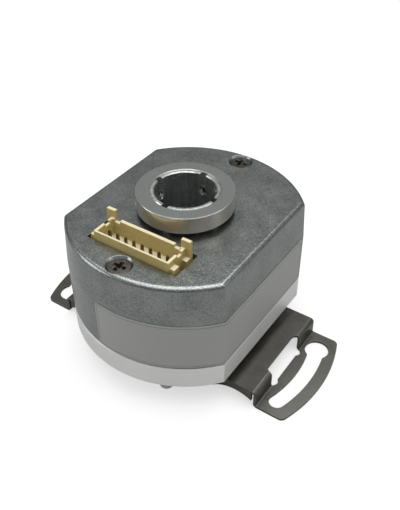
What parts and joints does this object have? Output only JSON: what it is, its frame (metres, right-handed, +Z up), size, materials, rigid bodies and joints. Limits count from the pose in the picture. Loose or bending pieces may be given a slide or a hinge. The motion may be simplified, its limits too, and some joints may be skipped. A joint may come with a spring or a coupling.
{
  "type": "rotary encoder",
  "caption": "Hollow-shaft optical rotary encoder with a slotted clamping shaft, top connector and a flexible sheet bracket with arc-slotted feet.",
  "frame": {"origin": "on the shaft axis at the mounting plane, the underside of the bracket's feet", "axes": "+Z up along the shaft, towards the clamp collar; +X along the bracket's feet, square to a flat of the body; -Y towards the connector"},
  "size_m": [0.0524, 0.0383, 0.0284],
  "materials": {
    "machined_aluminium": "fine turned, bright",
    "gasket_rubber": "matte",
    "cast_cover": "rough speckled casting with polished edges",
    "nickel_screws": "nickel plated",
    "label_film": "smooth satin film",
    "turned_steel": "turned and polished",
    "collar_steel": "turned and polished",
    "black_screws": "black oxide",
    "spring_steel": "rolled",
    "bearing_steel": "ground",
    "brass_cage": "satin",
    "disc_glass": "clear",
    "black_plastic": "moulded",
    "lamp_resin": "clear tinted resin",
    "tinned_metal": "tinned",
    "board_laminate": "solder mask",
    "ceramic": "ceramic",
    "cream_nylon": "moulded nylon",
    "bracket_steel": "dull rolled stainless sheet"
  },
  "bodies": {
    "housing": {"base": "machined_aluminium", "board_screws": "nickel_screws", "board_standoffs": "nickel_screws", "bracket_screws": "nickel_screws", "bracket_spacers": "spring_steel", "capacitors": "ceramic", "circuit_board": "board_laminate", "connector_contacts": "tinned_metal", "connector_header": "cream_nylon", "cover_gasket": "gasket_rubber", "cover_screws": "nickel_screws", "decoder_chip": "black_plastic", "driver_chip": "black_plastic", "flex_bracket": "bracket_steel", "infrared_lamp": "lamp_resin", "lamp_holder": "black_plastic", "lamp_leads": "tinned_metal", "lower_outer_race": "bearing_steel", "outer_spacer": "machined_aluminium", "photo_sensor": "black_plastic", "preload_washer": "spring_steel", "side_label": "label_film", "top_cover": "cast_cover", "upper_outer_race": "bearing_steel"},
    "rotor": {"hollow_shaft": "turned_steel", "clamp_collar": "collar_steel", "set_screws": "black_screws", "retaining_ring": "spring_steel", "lower_inner_race": "bearing_steel", "upper_inner_race": "bearing_steel", "inner_spacer": "machined_aluminium", "disc_hub": "machined_aluminium", "code_disc": "disc_glass"},
    "lower_ball_set": {"lower_bearing_balls": "bearing_steel", "lower_bearing_cage": "brass_cage"},
    "upper_ball_set": {"upper_bearing_balls": "bearing_steel", "upper_bearing_cage": "brass_cage"}
  },
  "joints": [
    {"name": "shaft_spin", "type": "hinge", "parent": "housing", "child": "rotor", "pos_m": [0, 0, 0.01682], "axis": [0, 0, 1], "continuous": true},
    {"name": "lower_balls_spin", "type": "hinge", "parent": "housing", "child": "lower_ball_set", "pos_m": [0, 0, 0.00832], "axis": [0, 0, 1], "continuous": true},
    {"name": "upper_balls_spin", "type": "hinge", "parent": "housing", "child": "upper_ball_set", "pos_m": [0, 0, 0.01432], "axis": [0, 0, 1], "continuous": true}
  ],
  "couplings": [
    {"joint": "lower_balls_spin", "follows": "shaft_spin", "ratio": 0.44667},
    {"joint": "upper_balls_spin", "follows": "shaft_spin", "ratio": 0.44667}
  ]
}
